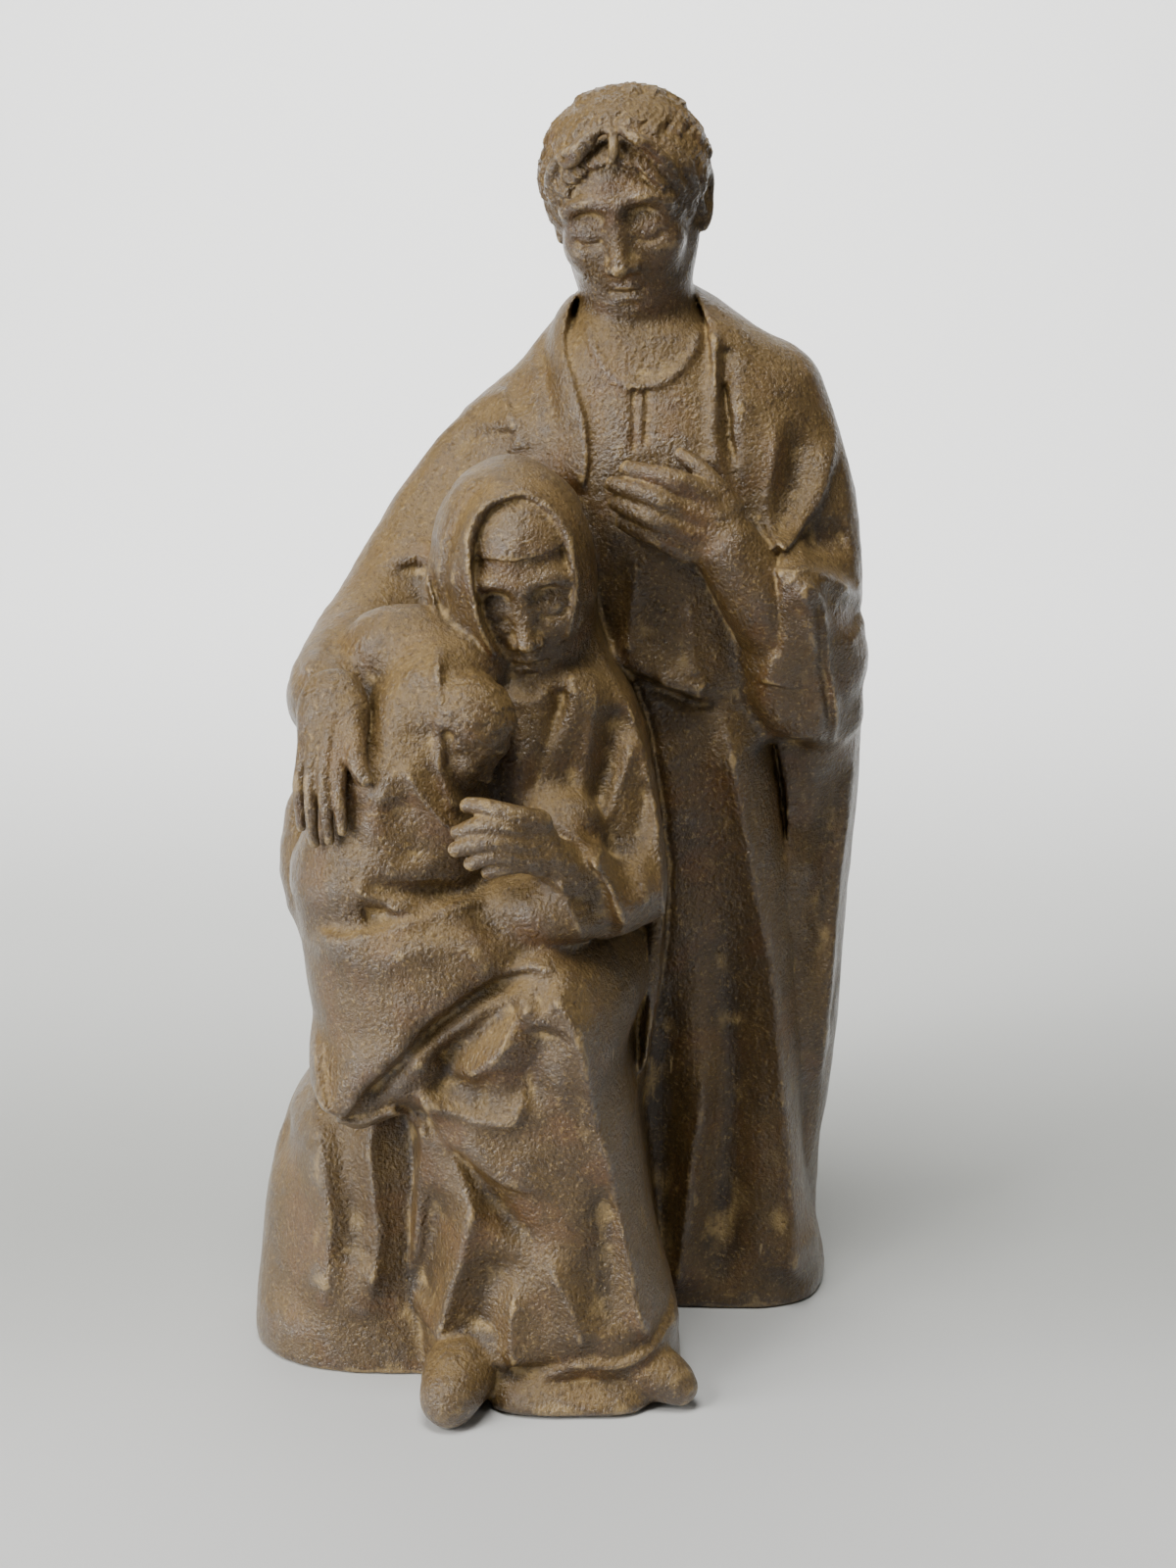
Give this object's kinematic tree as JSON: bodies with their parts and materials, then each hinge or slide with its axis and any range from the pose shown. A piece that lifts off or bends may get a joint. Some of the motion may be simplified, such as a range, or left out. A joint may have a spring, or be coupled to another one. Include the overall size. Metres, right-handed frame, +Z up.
{
  "type": "holy family figure group",
  "caption": "Standing man in a long cloak beside a seated veiled woman who holds a wrapped child, carved in one with a rounded rock seat.",
  "frame": {"origin": "on the floor, under the middle of the group's box", "axes": "+Z up through the standing figure, -Y towards the front, +X to the viewer's right"},
  "size_m": [0.201, 0.17, 0.4],
  "materials": {
    "brown_patina_clay": "fired grogged clay with a waxed brown patina, satin on the high places and matt in the folds"
  },
  "bodies": {
    "root": {"holy_family_group": "brown_patina_clay"}
  },
  "joints": []
}
